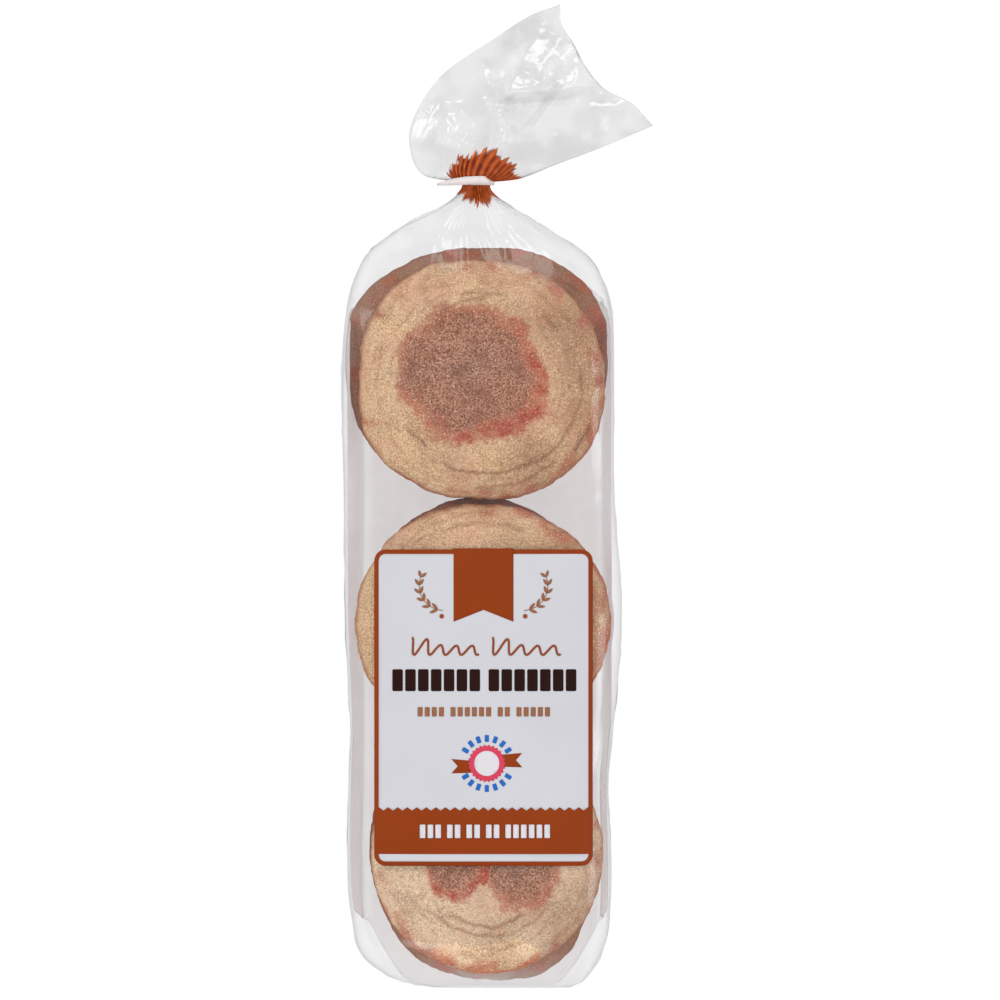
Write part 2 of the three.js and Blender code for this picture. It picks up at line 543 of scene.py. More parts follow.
@dataclass(frozen=True)
class TieLaminate:
    """Flat bag tie: a paper-faced polyethylene strip, slit to width, half matte."""

    name: str = "tie_strip_laminated"
    colour: str = "#e6dfdc"
    shade: str = "#cfc5c2"
    streak_mm: float = 2.5

    def build(self) -> bpy.types.Material:
        """Make the material."""
        material, tree, output = new_material(self.name)
        tone, _ = two_tone(tree, self.streak_mm, 2.0, self.shade, self.colour)
        shader = add(tree, "ShaderNodeBsdfPrincipled", {"Base Color": tone, "Roughness": 0.45})
        tree.links.new(shader.outputs[0], output.inputs["Surface"])
        return material


# ------------------------------------------------------------------ the bag's form


@dataclass(frozen=True)
class Section:
    """One cross-section of the filled bag, a rounded box pressed flat on the table."""

    left: float
    right: float
    low: float
    high: float
    power: float
    lap: float = 4.5

    @property
    def floor(self) -> float:
        """Lowest point of the full section, before the table presses it flat."""
        return self.low - max(0.0, self.lap - self.low)

    def point(self, angle: float) -> tuple[float, float]:
        """The section's x and z at an angle round it."""
        x, z = box_point(angle, self.power)
        z = mix(self.floor, self.high, (1 + z) / 2)
        return mix(self.left, self.right, (1 + x) / 2), max(z, self.low, 0.0)

    def top(self, x: float) -> float:
        """Height of the film's upper side at x."""
        unit = (2 * x - self.left - self.right) / (self.right - self.left)
        return mix(self.floor, self.high, (1 + dome(unit, self.power)) / 2)

    def side(self, z: float, way: int) -> float:
        """Where the film's side lies at a height, towards +X or -X."""
        unit = (2 * z - self.floor - self.high) / (self.high - self.floor)
        return mix(self.left, self.right, (1 + way * dome(unit, self.power)) / 2)

    def evenly(self, count: int, dense: int = 480) -> list[tuple[float, float]]:
        """Points spaced evenly round the section, from its right side over the top.

        Args:
            count: Number of points.
            dense: Number of points measured to space them.

        Returns:
            The x and z of each point.
        """
        trail = [self.point(math.tau * i / dense) for i in range(dense + 1)]
        run = [0.0]
        for (x0, z0), (x1, z1) in zip(trail, trail[1:]):
            run.append(run[-1] + math.hypot(x1 - x0, z1 - z0))
        points, k = [], 0
        for i in range(count):
            goal = run[-1] * i / count
            while run[k + 1] < goal:
                k += 1
            t = (goal - run[k]) / max(run[k + 1] - run[k], 1e-9)
            points.append((mix(trail[k][0], trail[k + 1][0], t), mix(trail[k][1], trail[k + 1][1], t)))
        return points


@dataclass
class BagForm:
    """Where the film lies, worked out from the frame's boxes of the bag and the tie."""

    muffin_pitch: float = 86.0
    neck_to_first_muffin: float = 72.5
    muffin_radius: float = 45.0
    muffin_middle: float = 1.6
    muffin_power: float = 3.4
    film_above_muffin: float = 0.35
    neck_wide: float = 4.6
    neck_deep: float = 4.0

    def __post_init__(self) -> None:
        """Read the frame's boxes and lay out the stations along the bag."""
        low, high = (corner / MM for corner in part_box("bag"))
        tie_low, tie_high = (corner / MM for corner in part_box("tie"))
        self.bottom, self.tip = low.y, high.y
        self.height = high.z
        self.left, self.right_tip = low.x, high.x
        self.neck = Vector((0.0, (tie_low.y + tie_high.y) / 2, (tie_low.z + tie_high.z) / 2))
        self.first = self.neck.y - self.neck_to_first_muffin
        shoulder = self.first + self.muffin_radius
        h = self.height
        wide = -self.left
        pitch = self.muffin_pitch
        rows = (
            # y, left, right, low, high, power
            (self.bottom, -17.5, 33.5, 0, 7, 2.2),
            (self.bottom + 1.2, -24.5, 36, 0, 16, 2.4),
            (self.bottom + 3.7, -32, 39, 0, 26, 2.6),
            (self.bottom + 11, -42, 44, 0, 40.5, 3.0),
            (self.bottom + 22, -45.8, 47.2, 0, h - 2.4, 3.8),
            (self.bottom + 46, -48, 48, 0, h, 4.2),
            (self.first - 1.7 * pitch, -47.7, 47.3, 0, h - 1.4, 4.2),
            (self.first - 1.5 * pitch, -47.2, 48.8, 0, h - 2.2, 4.2),
            (self.first - pitch, -48.8, 52, 0, h, 4.2),
            (self.first - 0.5 * pitch, 0.6 - wide, wide - 0.6, 0, h - 2.0, 4.2),
            (self.first, -wide, 49, 0, h, 4.2),
            (shoulder - 22, -48.8, 48.6, 0, h - 0.6, 4.2),
            (shoulder - 9, -46, 45.5, 0, h - 3.5, 3.2),
            (shoulder + 2, -40, 38, 1.2, h - 8, 2.8),
            (shoulder + 12, -27, 22, 7, h - 14.5, 2.3),
            (self.neck.y - 8.5, -13.0, 10.6, 12.5, 30, 2.0),
            (self.neck.y - 3.0, -self.neck_wide - 1.6, self.neck_wide - 0.6,
             self.neck.z - self.neck_deep - 0.4, self.neck.z + self.neck_deep + 0.4, 2.0),
            (self.neck.y, -self.neck_wide - 0.6, self.neck_wide - 0.4,
             self.neck.z - self.neck_deep, self.neck.z + self.neck_deep, 2.0),
        )
        self.places = [row[0] for row in rows]
        self.columns = list(zip(*[row[1:] for row in rows]))

    def section(self, y: float) -> Section:
        """The film's section at a place along the bag."""
        left, right, low, high, power = (through_points(self.places, c, y) for c in self.columns)
        return Section(left, right, max(low, 0.0), high, power)

    def from_neck(self, x: float, y: float) -> float:
        """Distance on the plan from the middle of the neck."""
        return math.hypot(x - self.neck.x, y - self.neck.y)

    def slack(self, x: float, y: float, upper: bool) -> float:
        """How far the film stands off its smooth form, in millimetres.

        Args:
            x: Place across the bag.
            y: Place along the bag.
            upper: True for the label side.

        Returns:
            The offset, outwards positive; almost nothing where muffins hold it taut.
        """
        shoulder = smooth_step(self.first + 34, self.first + 54, y)
        corner = smooth_step(self.bottom + 24, self.bottom + 4, y)
        side = smooth_step(36.0, 46.0, abs(x))
        seed = 3.1 if upper else 17.4
        broad = noise.noise(Vector((x / 17, y / 34, seed)))
        sharp = ridge(Vector((x / 11, y / 26, seed + 5)), 4.0)
        loose = max(shoulder, corner, 0.45 * side)
        return loose * (0.9 * broad + 0.8 * sharp) + 0.08 * broad

    def cover(self, x: float, y: float) -> float:
        """Height to which the upper muffins push the film at a place, or 0 beyond them."""
        highest = 0.0
        crown = self.height - self.film_above_muffin
        for i in range(3):
            dx, dy = x - self.muffin_middle, y - self.first + i * self.muffin_pitch
            near = math.hypot(dx, dy) / self.muffin_radius
            if near < 1.0:
                highest = max(highest, mix(self.height / 2, crown, dome(near, self.muffin_power)))
        return highest

    def top(self, x: float, y: float) -> float:
        """Height of the label side's film at a place on the plan."""
        return max(self.section(y).top(x) + self.slack(x, y, True), self.cover(x, y))


# -------------------------------------------------------------------- the film bag


@dataclass
class FilmBag:
    """The clear film: the filled body, and the gathered fan above the tie."""

    form: BagForm
    body_rows: int = 236
    body_around: int = 364
    fan_rows: int = 112
    fan_around: int = 364
    pleats: int = 60
    pleat_depth: float = 0.9
    pleat_fade: float = 13.0
    soft_folds: int = 9
    soft_fold_depth: float = 0.55
    soft_fold_at: float = 26.0
    soft_fold_reach: float = 20.0
    fan_pleat_depth: float = 1.5
    fan_pleat_fade: float = 10.0
    band_below: float = 7.4
    band_above: float = 10.4
    band_teeth: float = 1.6
    band_wander: float = 2.6
    band_lobe: float = 3.4
    film_thickness: float = 0.12

    def pleat(self, share: float) -> float:
        """The gathered film's zigzag at a share of a turn, from -1 in a valley to 1 on a crest."""
        uneven = share + 0.012 * math.sin(math.tau * (3 * share + 0.1))
        uneven += 0.006 * math.sin(math.tau * 7 * share)
        t = (uneven * self.pleats) % 1.0
        return (1.0 - 4.0 * abs(t - 0.5)) * (0.78 + 0.22 * math.sin(math.tau * 5 * share + 0.4))

    def body_y(self, row: int) -> float:
        """Where a row of the body lies, with rows crowded towards the neck."""
        t = row / (self.body_rows - 1)
        eased = 1 - (1 - t) ** 1.75
        start = 0.03 * (1 - math.cos(math.pi * min(1.0, 8 * t))) / 2
        span = self.form.neck.y - self.form.bottom
        return self.form.bottom + span * clamp01(min(eased, t * 1.6 + start))

    def body(self, material: bpy.types.Material) -> bpy.types.Object:
        """Sweep the closed film round the muffins, up to the tie.

        Args:
            material: The film.

        Returns:
            The piece.
        """
        rows = [self.body_y(row) for row in range(self.body_rows)]
        rings = [self.form.section(y).evenly(self.body_around) for y in rows]

        def place(row: int, share: float) -> Vector:
            """The film's point on a row, with its gathers and slack."""
            x, z = rings[row][round(share * self.body_around) % self.body_around]
            y = rows[row]
            form = self.form
            section = form.section(y)
            middle = Vector(((section.left + section.right) / 2, y, (section.low + section.high) / 2))
            out = Vector((x, y, z)) - middle
            reach = out.length
            away = form.from_neck(x, y)
            gather = self.pleat_depth * math.exp(-away / self.pleat_fade) * self.pleat(share)
            soft = self.soft_fold_depth * math.exp(-((away - self.soft_fold_at) / self.soft_fold_reach) ** 2)
            gather += soft * math.sin(math.tau * self.soft_folds * share + 1.0)
            gather *= smooth_step(form.first + 26, form.first + 52, y)
            gather *= smooth_step(1.0, 4.5, form.neck.y - y) * 0.75 + 0.25
            slack = form.slack(x, y, z > middle.z)
            if z < 0.5 and y < form.first + 46:
                slack = 0.0
            point = middle + out * ((reach + gather + slack) / reach)
            if z > middle.z:
                point.z = max(point.z, form.cover(point.x, point.y))
            point.z = max(point.z, 0.0)
            return point

        bm = sweep(self.body_rows, self.body_around, place, caps=True)
        self.mark(bm, self.band_below)
        piece = finish_piece(bm, "film_body", [material], Slot.FILM)
        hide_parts("bag")
        return piece

    def mark(self, bm: bmesh.types.BMesh, reach: float) -> None:
        """Set where the film carries the printed band, and how deep each pleat lies, which paints shade into
        the band's valleys and highlight on its crests.

        Args:
            bm: The film's mesh, in millimetres.
            reach: How far the band runs from the tie.
        """
        ink = bm.verts.layers.float.new("ink")
        fold = bm.verts.layers.float.new("fold")
        share = bm.verts.layers.float["share"]
        for vert in bm.verts:
            x, y, _ = vert.co
            angle = math.atan2(y - self.form.neck.y, x - self.form.neck.x)
            wander = self.band_wander * noise.noise(Vector((angle * 5, 0.3, 0.0)))
            ragged = self.band_teeth * self.pleat(vert[share]) + wander
            edge = reach + ragged + self.band_lobe * max(0.0, math.cos(angle - 0.25)) ** 4
            away = self.form.from_neck(x, y)
            vert[ink] = 1.0 - smooth_step(edge - 0.3, edge + 0.3, away)
            # how deep each pleat lies, which paints shade and highlight into the printed band
            vert[fold] = clamp01(0.5 + 0.47 * self.pleat(vert[share]) + 0.3 * noise.noise(vert.co / 2.2))

    def fan_edges(self, t: float) -> tuple[Vector, Vector]:
        """The two ends of the fan's section, a share t of the way to the bag's open end.

        Args:
            t: 0 at the tie and 1 at the open end.

        Returns:
            The left and right end of the section.
        """
        neck, tip, right = self.form.neck, self.form.tip, self.form.right_tip
        rise = tip - neck.y
        left_stops = (0.0, 0.13, 0.28, 0.42, 0.58, 0.74, 0.88, 1.0)
        left_x = (-self.form.neck_wide - 0.6, -20.8, -25.6, -21.6, -12.4, 4.5, 18.2, 29.6)
        left_y = (0.0, 0.045, 0.245, 0.43, 0.615, 0.79, 0.925, 0.99)
        right_stops = (0.0, 0.2, 0.45, 0.72, 1.0)
        right_x = (self.form.neck_wide - 0.4, 14.8, 27.0, 44.5, right)
        right_y = (0.0, 0.02, 0.092, 0.192, 0.315)

        def at(stops: Sequence[float], xs: Sequence[float], ys: Sequence[float]) -> Vector:
            """The point of one edge."""
            y = neck.y + rise * through_points(stops, ys, t)
            return Vector((through_points(stops, xs, t), y, neck.z))

        return at(left_stops, left_x, left_y), at(right_stops, right_x, right_y)

    def crumple(self, x: float, y: float, front: bool) -> float:
        """Flat facets and sharp folds of the loose film above the tie.

        Args:
            x: Place across.
            y: Place along.
            front: True for the side that faces up.

        Returns:
            The offset out of the film's smooth form.
        """
        neck = self.form.neck
        # each fold: its middle, direction in degrees, height, width to its left and right, half length
        folds = (
            (19.0, 50.0, 63.0, 2.6, 6.0, 7.5, 22.0),
            (25.0, 33.5, 6.0, 6.6, 19.0, 4.0, 22.0),
            (4.7, 41.0, -45.0, 1.5, 3.2, 3.6, 13.0),
            (10.0, 30.5, 2.0, 1.5, 4.0, 4.5, 30.0),
            (44.0, 22.0, 14.0, 1.6, 8.0, 3.5, 20.0),
            (-8.0, 22.0, 98.0, 1.3, 3.5, 3.0, 14.0),
            (-15.0, 24.0, 84.0, 1.1, 2.6, 3.2, 15.0),
            (9.0, 20.0, 92.0, 1.2, 2.4, 2.4, 9.0),
        )
        total = 0.0
        for i, (fx, fy, degrees, height, left, right, length) in enumerate(folds):
            turn = math.radians(degrees + (0 if front else 37 + 11 * i))
            dx, dy = x - neck.x - fx, y - neck.y - fy
            along = dx * math.cos(turn) + dy * math.sin(turn)
            across = dy * math.cos(turn) - dx * math.sin(turn)
            across += 0.9 * noise.noise(Vector((along / 7, i * 3.7, 0.0)))
            fade = smooth_step(1.0, 0.55, abs(along) / length)
            total += height * fade * max(0.0, 1.0 - abs(across) / (left if across > 0 else right))
        fine = ridge(Vector((x / 7, y / 9, 4.0 if front else 9.0)), 6.0)
        return total + 0.3 * fine + 0.35 * noise.noise(Vector((x / 13, y / 13, 2.0)))

    def fan(self, material: bpy.types.Material) -> bpy.types.Object:
        """Sweep the loose fan of film from the tie to the bag's open end.

        Args:
            material: The film.

        Returns:
            The piece.
        """
        form = self.form
        mouth_at = (0.0, 0.1, 0.27, 0.42, 0.61, 0.8, 1.0)
        mouth = (0.0, 3.8, 4.9, 6.5, 6.0, 1.2, 0.0)
        thick_at = (0.0, 0.12, 0.22, 0.4, 0.62, 0.85, 1.0)
        thick = (2 * form.neck_deep, 8.8, 13.0, 17.0, 16.0, 11.0, 6.0)

        def place(row: int, share: float) -> Vector:
            """The film's point on a row, pleated near the tie and crumpled beyond."""
            t = (row / (self.fan_rows - 1)) ** 1.35
            left, right = self.fan_edges(t)
            across = (right - left) / 2
            back = Vector((across.y, -across.x, 0.0)).normalized()
            angle = math.tau * share
            power = mix(2.0, 1.25, smooth_step(0.05, 0.7, t))
            c, s = math.cos(angle), math.sin(angle)
            ux = math.copysign(abs(c) ** (2 / power * 0.5 + 0.5), c)
            uz = math.copysign(dome(ux, power), s)
            bow = t**3 * through_points(mouth_at, mouth, (1 + ux) / 2)
            point = (left + right) / 2 + across * ux + back * bow
            half = through_points(thick_at, thick, t) / 2
            away = form.from_neck(point.x, point.y)
            gather = self.pleat(share) * self.fan_pleat_depth * smooth_step(4.0, 8.5, away)
            gather *= math.exp(-away / self.fan_pleat_fade)
            gather += 0.15 * self.pleat(share) * smooth_step(14.0, 6.0, away)
            loose = smooth_step(0.12, 0.4, t)
            inner = 1.0 - abs(ux) ** 3
            rumple = self.crumple(point.x, point.y, uz > 0) * loose * inner
            point += across.normalized() * (ux * gather)
            point.z += uz * half + math.copysign(rumple * 1.4, uz) + uz * gather
            return point

        bm = sweep(self.fan_rows, self.fan_around, place, caps=False)
        self.mark(bm, self.band_above)
        bmesh.ops.solidify(bm, geom=bm.faces[:], thickness=self.film_thickness)
        return finish_piece(bm, "film_fan", [material], Slot.FILM)


# ------------------------------------------------------------------------ muffins


@dataclass(frozen=True)
class Toast:
    """A toasted patch where the muffin lay on the griddle, with its red border.

    Its outline is radii evenly spaced round its own centre from +X, joined by a
    smooth closed curve. The brown part fills the outline to a share that is smallest
    towards one side, where the red border is widest.
    """

    x: float
    y: float
    outline: tuple[float, ...]
    filled: float = 0.865
    filled_swing: float = 0.12
    border_turn: float = -35.0
    border: float = 1.12


@dataclass(frozen=True)
class Crease:
    """A split or wrinkle that follows the rim: its radius, its two angles and its size."""

    radius: float
    start: float
    end: float
    depth: float
    width: float


@dataclass(frozen=True)
class Muffin:
    """One english muffin: a griddled round of dough with a rim, a patch and wrinkles.

    Its outline is twelve radii, one each 30 degrees from +X, that a smooth closed
    curve joins.
    """

    name: str
    x: float
    y: float
    base: float
    thickness: float
    outline: tuple[float, ...]
    toast: tuple[Toast, ...]
    blush_turn: float
    creases: tuple[Crease, ...] = ()
    seed: float = 0.0
    steps: int = 400
    rings: int = 132
    rim_power: float = 3.2
    flank: float = 0.45
    # which way the side with painted shade faces, in degrees
    side_shade_turn: float = -12.0
    swell: float = 0.8

    def radius(self, angle: float) -> float:
        """The outline's radius at an angle."""
        return round_curve(self.outline, angle)

    def reach(self, y: float, z: float, way: int) -> float:
        """How far across a muffin reaches, towards +X or -X, at a place along the pack and a height."""
        usual, nowhere = 46.0, way * -100.0
        level, dy = (z - self.base) * 2 / self.thickness - 1, y - self.y
        across = math.sqrt(max(0.0, usual**2 - dy**2))
        if abs(level) >= 1 or across == 0:
            return nowhere
        around = self.radius(math.atan2(dy, way * across)) * dome(level, self.rim_power)
        return self.x + way * math.sqrt(max(0.0, (around + self.swell) ** 2 - dy**2))

    def patch(self, x: float, y: float) -> tuple[float, float]:
        """How brown and how red the toasted patches make a place.

        Args:
            x: Place from the muffin's centre.
            y: Place from the muffin's centre.

        Returns:
            The brown share and the red share, from 0 to 1.
        """
        ragged = 0.10 * noise.noise(Vector((x / 8, y / 8, self.seed)))
        ragged += 0.07 * noise.noise(Vector((x / 2.6, y / 2.6, self.seed + 9)))
        ragged += 0.05 * noise.noise(Vector((x / 1.1, y / 1.1, self.seed + 3)))
        mottle = 0.86 + 0.5 * noise.noise(Vector((x / 4, y / 4, self.seed + 6)))
        brown, red = 0.0, 0.0
        for spot in self.toast:
            dx, dy = x - spot.x, y - spot.y
            angle = math.atan2(dy, dx)
            near = math.hypot(dx, dy) / round_curve(spot.outline, angle) + ragged
            swing = math.cos(angle - math.radians(spot.border_turn))
            filled = spot.filled - spot.filled_swing * swing
            brown = max(brown, 1 - smooth_step(filled - 0.13, filled + 0.10, near))
            border = smooth_step(filled - 0.2, filled + 0.06, near) * (1 - smooth_step(0.92, 1.06, near))
            red = max(red, border * spot.border * (0.78 + 0.22 * swing) * mottle)
        return brown, clamp01(red)

    def groove(self, radius: float, angle: float) -> tuple[float, float]:
        """The named creases at a place: their depth in millimetres, and how much painted shade they take."""
        total, crease_shade = 0.0, 0.0
        for crease in self.creases:
            middle = (crease.start + crease.end) / 2
            half = (crease.end - crease.start) / 2
            off = abs((math.degrees(angle) - middle + 180) % 360 - 180)
            wander = 1.1 * noise.noise(Vector((angle * 5, crease.radius, self.seed)))
            wander += 0.5 * noise.noise(Vector((angle * 17, crease.radius, self.seed)))
            across = abs(radius - crease.radius - wander) / crease.width
            deep = crease.depth * smooth_step(1.0, 0.7, off / half) * max(0.0, 1 - across) ** 1.5
            total += deep
            crease_shade += deep / crease.width
        return total, crease_shade

    def surface(self, vert: bmesh.types.BMVert, layers: dict[str, object]) -> None:
        """Shape one point of the plain round and set what its crust looks like.

        Args:
            vert: The point, on a round of radius 1 and height -1 to 1.
            layers: The attribute layers to write.
        """
        flat = math.hypot(vert.co.x, vert.co.y)
        angle = math.atan2(vert.co.y, vert.co.x)
        rim = self.radius(angle)
        level = vert.co.z
        radius = flat * rim
        x, y = radius * math.cos(angle), radius * math.sin(angle)
        half = self.thickness / 2
        place = Vector((x, y, self.seed + level * half))
        brown, red = self.patch(x, y)
        upper = smooth_step(0.1, 0.6, abs(level))
        ring = Vector((math.cos(angle) * 3.1, math.sin(angle) * 3.1, radius / 3.2 + self.seed))
        wrinkle = ridge(ring, 4.0) * smooth_step(0.5, 0.66, flat) * (1 - brown)
        wrinkle *= clamp01(0.4 + 1.8 * noise.noise(place / 12))
        cobble = noise.noise(place / 3.2) + 0.7 * noise.noise(place / 1.6)
        groove, crease_shade = self.groove(radius, angle) if level > 0 else (0.0, 0.0)
        lift = 0.8 * noise.noise(place / 19) + 0.45 * cobble - 1.1 * wrinkle - groove
        lift += 0.2 * noise.noise(place / 0.85)
        lift -= 0.35 * brown
        out = Vector((vert.co.x, vert.co.y, 0.0))
        if out.length > 1e-6:
            out.normalize()
        swell = 0.9 * noise.noise(place / 9) + 0.5 * cobble
        side = smooth_step(0.75, 1.0, flat)
        vert.co = Vector((x, y, level * half)) + out * (swell * side * self.swell)
        vert.co.z += math.copysign(lift * upper, level)
        vert.co += Vector((self.x, self.y, self.base + half))
        vert.co.z = min(max(vert.co.z, self.base), self.base + self.thickness + 0.5)
        turn = math.cos(angle - math.radians(self.blush_turn))
        spots = clamp01(2.4 * noise.noise(place / 6) + self.flank * turn - 0.12)
        spots *= smooth_step(0.84, 0.98, flat)
        # painted shade: darker towards one side of the muffin
        side_shade_share = 0.42 * flat * math.cos(angle - math.radians(self.side_shade_turn))
        vert[layers["side_shade"]] = clamp01(0.12 + side_shade_share + 0.5 * noise.noise(place / 16))
        vert[layers["toast"]] = brown * upper
        vert[layers["blush"]] = clamp01(red * upper + 0.7 * spots)
        # rim band: toasted side, partly painted glow and shade at the edge
        vert[layers["rim"]] = 0.85 * smooth_step(0.52, 0.22, abs(level))
        # partly the cracks' own darker tone and partly painted shade in creases, wrinkles and hollows
        crack_and_shade = 0.66 * crease_shade + 0.3 * wrinkle * upper - 0.12 * cobble * upper
        vert[layers["crack_and_shade"]] = min(0.75, clamp01(crack_and_shade))

    def build(self, material: bpy.types.Material) -> bpy.types.Object:
        """Spin the round and shape its crust.

        Args:
            material: The crust.

        Returns:
            The piece.
        """
        bm = bmesh.new()
        profile = [bm.verts.new() for _ in range(self.rings + 1)]
        self.lay_profile(profile)
        edges = [bm.edges.new(pair) for pair in zip(profile, profile[1:])]
        bmesh.ops.spin(
            bm, geom=profile + edges, cent=(0, 0, 0), axis=(0, 0, 1), dvec=(0, 0, 0),
            angle=math.tau, steps=self.steps, use_merge=True, use_normal_flip=False,
        )
        bmesh.ops.remove_doubles(bm, verts=bm.verts, dist=1e-5)
        marks = ("toast", "blush", "rim", "crack_and_shade", "side_shade")
        layers = {name: bm.verts.layers.float.new(name) for name in marks}
        for vert in bm.verts:
            self.surface(vert, layers)
        bmesh.ops.recalc_face_normals(bm, faces=bm.faces)
        return finish_piece(bm, self.name, [material], Slot.CRUST)

    def lay_profile(self, profile: list[bmesh.types.BMVert]) -> None:
        """Space the profile's points evenly along its outline, true to the muffin's own size.

        Args:
            profile: The points, from the middle of the underside to that of the top.
        """
        wide, tall = sum(self.outline) / len(self.outline), self.thickness / 2
        dense, underside_share = 2000, 0.4
        trail = [box_point(math.pi * (i / dense - 0.5), self.rim_power) for i in range(dense + 1)]
        run = [0.0]
        for (r0, z0), (r1, z1) in zip(trail, trail[1:]):
            # the underside takes fewer rings than the side that shows
            step = math.hypot((r1 - r0) * wide, (z1 - z0) * tall)
            run.append(run[-1] + step * (underside_share if z1 < 0 else 1.0))
        k = 0
        for i, vert in enumerate(profile):
            goal = run[-1] * i / (len(profile) - 1)
            while k < dense - 1 and run[k + 1] < goal:
                k += 1
            t = clamp01((goal - run[k]) / max(run[k + 1] - run[k], 1e-9))
            (r0, z0), (r1, z1) = trail[k : k + 2]
            vert.co = Vector((mix(r0, r1, t), 0.0, mix(z0, z1, t)))
        profile[0].co.x = profile[-1].co.x = 0.0


@dataclass
class MuffinLayers:
    """Two layers of three muffins, the lower one mostly hidden."""

    form: BagForm
    card: float = 0.7
    lower_thickness: float = 23.2
    upper_thickness: float = 23.0
    gap: float = 0.3

    def build(self) -> list[Muffin]:
        """Make all six muffins.

        Returns:
            The muffins, which the tray's walls follow.
        """
        upper, lower = self.upper(), self.lower()
        crust = BakedCrust("whole_wheat_crust_floured").build()
        # the lower muffins get a darker copy of the crust: painted shade under the upper layer
        shaded = BakedCrust(
            "whole_wheat_crust_in_painted_shade", skin_light="#ab8064", skin_dark="#805642", skin_pink="#a0755f",
            meal="#bd9a80", rim="#8a563d",
        ).build()
        pale = BakedCrust(
            "whole_wheat_crust_pale", skin_light="#f6dcb8", skin_dark="#bf9675", skin_pink="#e6bb9e",
        ).build()
        for muffin, finish in zip(upper, (crust, crust, pale)):
            muffin.build(finish)
        for muffin in lower:
            muffin.build(shaded)
        return upper + lower

    def upper(self) -> list[Muffin]:
        """The three muffins that show, from the neck to the closed end."""
        base = self.card + self.lower_thickness + self.gap
        first, pitch = self.form.first, self.form.muffin_pitch
        return [
            Muffin(
                "muffin_upper_1", 1.1, first + 0.4, base, self.upper_thickness,
                (44.6, 44.1, 44.0, 43.2, 45.9, 46.3, 44.7, 46.9, 45.2, 43.6, 45.5, 46.4),
                (Toast(0, 0, (24.8, 21.9, 25.3, 26.8, 29.6, 31.2, 31.3, 28.0, 26.1, 23.6, 23.6, 26.6)),),
                -12.0,
                (
                    Crease(34.3, 236, 312, 1.2, 1.0), Crease(31.8, 212, 232, 0.9, 1.0),
                    Crease(32.6, 4, 60, 0.9, 2.8), Crease(36.3, 296, 372, 0.9, 1.0),
                    Crease(29.0, 86, 124, 0.8, 0.9), Crease(31.8, 72, 108, 0.8, 1.0),
                    Crease(42.6, 320, 338, 1.7, 1.3), Crease(39.6, 262, 318, 0.8, 1.0),
                    Crease(36.0, 116, 152, 0.5, 1.1), Crease(37.4, 20, 74, 0.6, 1.1),
                    Crease(38.5, 158, 204, 0.5, 1.0),
                ),
                seed=1.7,
            ),
            Muffin(
                "muffin_upper_2", 1.2, first - pitch - 2.0, base, self.upper_thickness - 0.3,
                (46.7, 46.0, 43.9, 43.2, 44.2, 45.6, 46.4, 46.0, 44.3, 43.0, 44.0, 45.8),
                (Toast(0.0, -1.0, (27.0, 26.0, 25.0, 26.0, 27.5, 26.0)),),
                2.0,
                (
                    Crease(36.0, 60, 120, 0.8, 1.3), Crease(39.5, 80, 140, 0.5, 1.1),
                    Crease(36.5, 160, 215, 0.5, 1.2), Crease(37.0, -30, 30, 0.7, 1.3),
                ),
                flank=1.15,
                seed=8.3,
            ),
            Muffin(
                "muffin_upper_3", 2.9, first - 2 * pitch - 1.3, base, self.upper_thickness - 0.2,
                (42.2, 42.6, 42.9, 43.0, 42.6, 42.4, 42.2, 42.4, 42.6, 42.7, 42.7, 42.4),
                (
                    Toast(-11.5, 1.0, (11.0, 14.0, 18.0, 15.0, 11.5, 14.5, 17.5, 14.5),
                          filled=0.88, filled_swing=0.1),
                    Toast(12.0, 1.0, (14.0, 17.0, 19.0, 15.0, 13.0, 17.5, 21.5, 19.0),
                          filled=0.9, filled_swing=0.06, border=0.7),
                    Toast(-1.2, -6.5, (2.0, 2.6, 5.0, 2.6, 2.0, 2.4, 4.6, 2.4),
                          filled=0.0, filled_swing=0.0, border=1.5),
                ),
                -92.0,
                (
                    Crease(25.4, 232, 308, 1.1, 1.1), Crease(28.6, 226, 286, 1.1, 1.0),
                    Crease(29.6, 284, 318, 0.8, 1.0), Crease(34.0, 250, 330, 0.5, 1.0),
                    Crease(37.0, 325, 380, 0.5, 1.1),
                ),
                flank=0.5,
                seed=14.9,
            ),
        ]

    def lower(self) -> list[Muffin]:
        """The three muffins underneath, of which only edges show."""
        first, pitch = self.form.first, self.form.muffin_pitch
        places = ((-1.3, first + 2.6), (0.2, first - pitch - 1.0), (1.4, first - 2 * pitch + 0.4))
        outlines = (
            (47.6, 51.6, 49.6, 45.8, 47.6, 50.4, 46.4, 46.6, 45.4, 45.4, 45.0, 45.6),
            (44.6, 44.2, 43.8, 44.6, 43.8, 44.0, 44.4, 44.2, 43.4, 43.0, 43.4, 44.2),
            (42.4, 42.8, 43.0, 42.9, 43.0, 42.6, 41.8, 42.5, 46.2, 46.9, 49.6, 44.6),
        )
        return [
            Muffin(
                f"muffin_lower_{i + 1}", x, y, self.card, self.lower_thickness, outline,
                (Toast(0.5, -0.5, (27.0, 26.0, 25.5, 27.0, 26.0, 25.0)),), 40.0 + 90 * i,
                seed=21.3 + 5 * i, steps=200, rings=60,
            )
            for i, ((x, y), outline) in enumerate(zip(places, outlines))
        ]


# --------------------------------------------------------------------------- tray


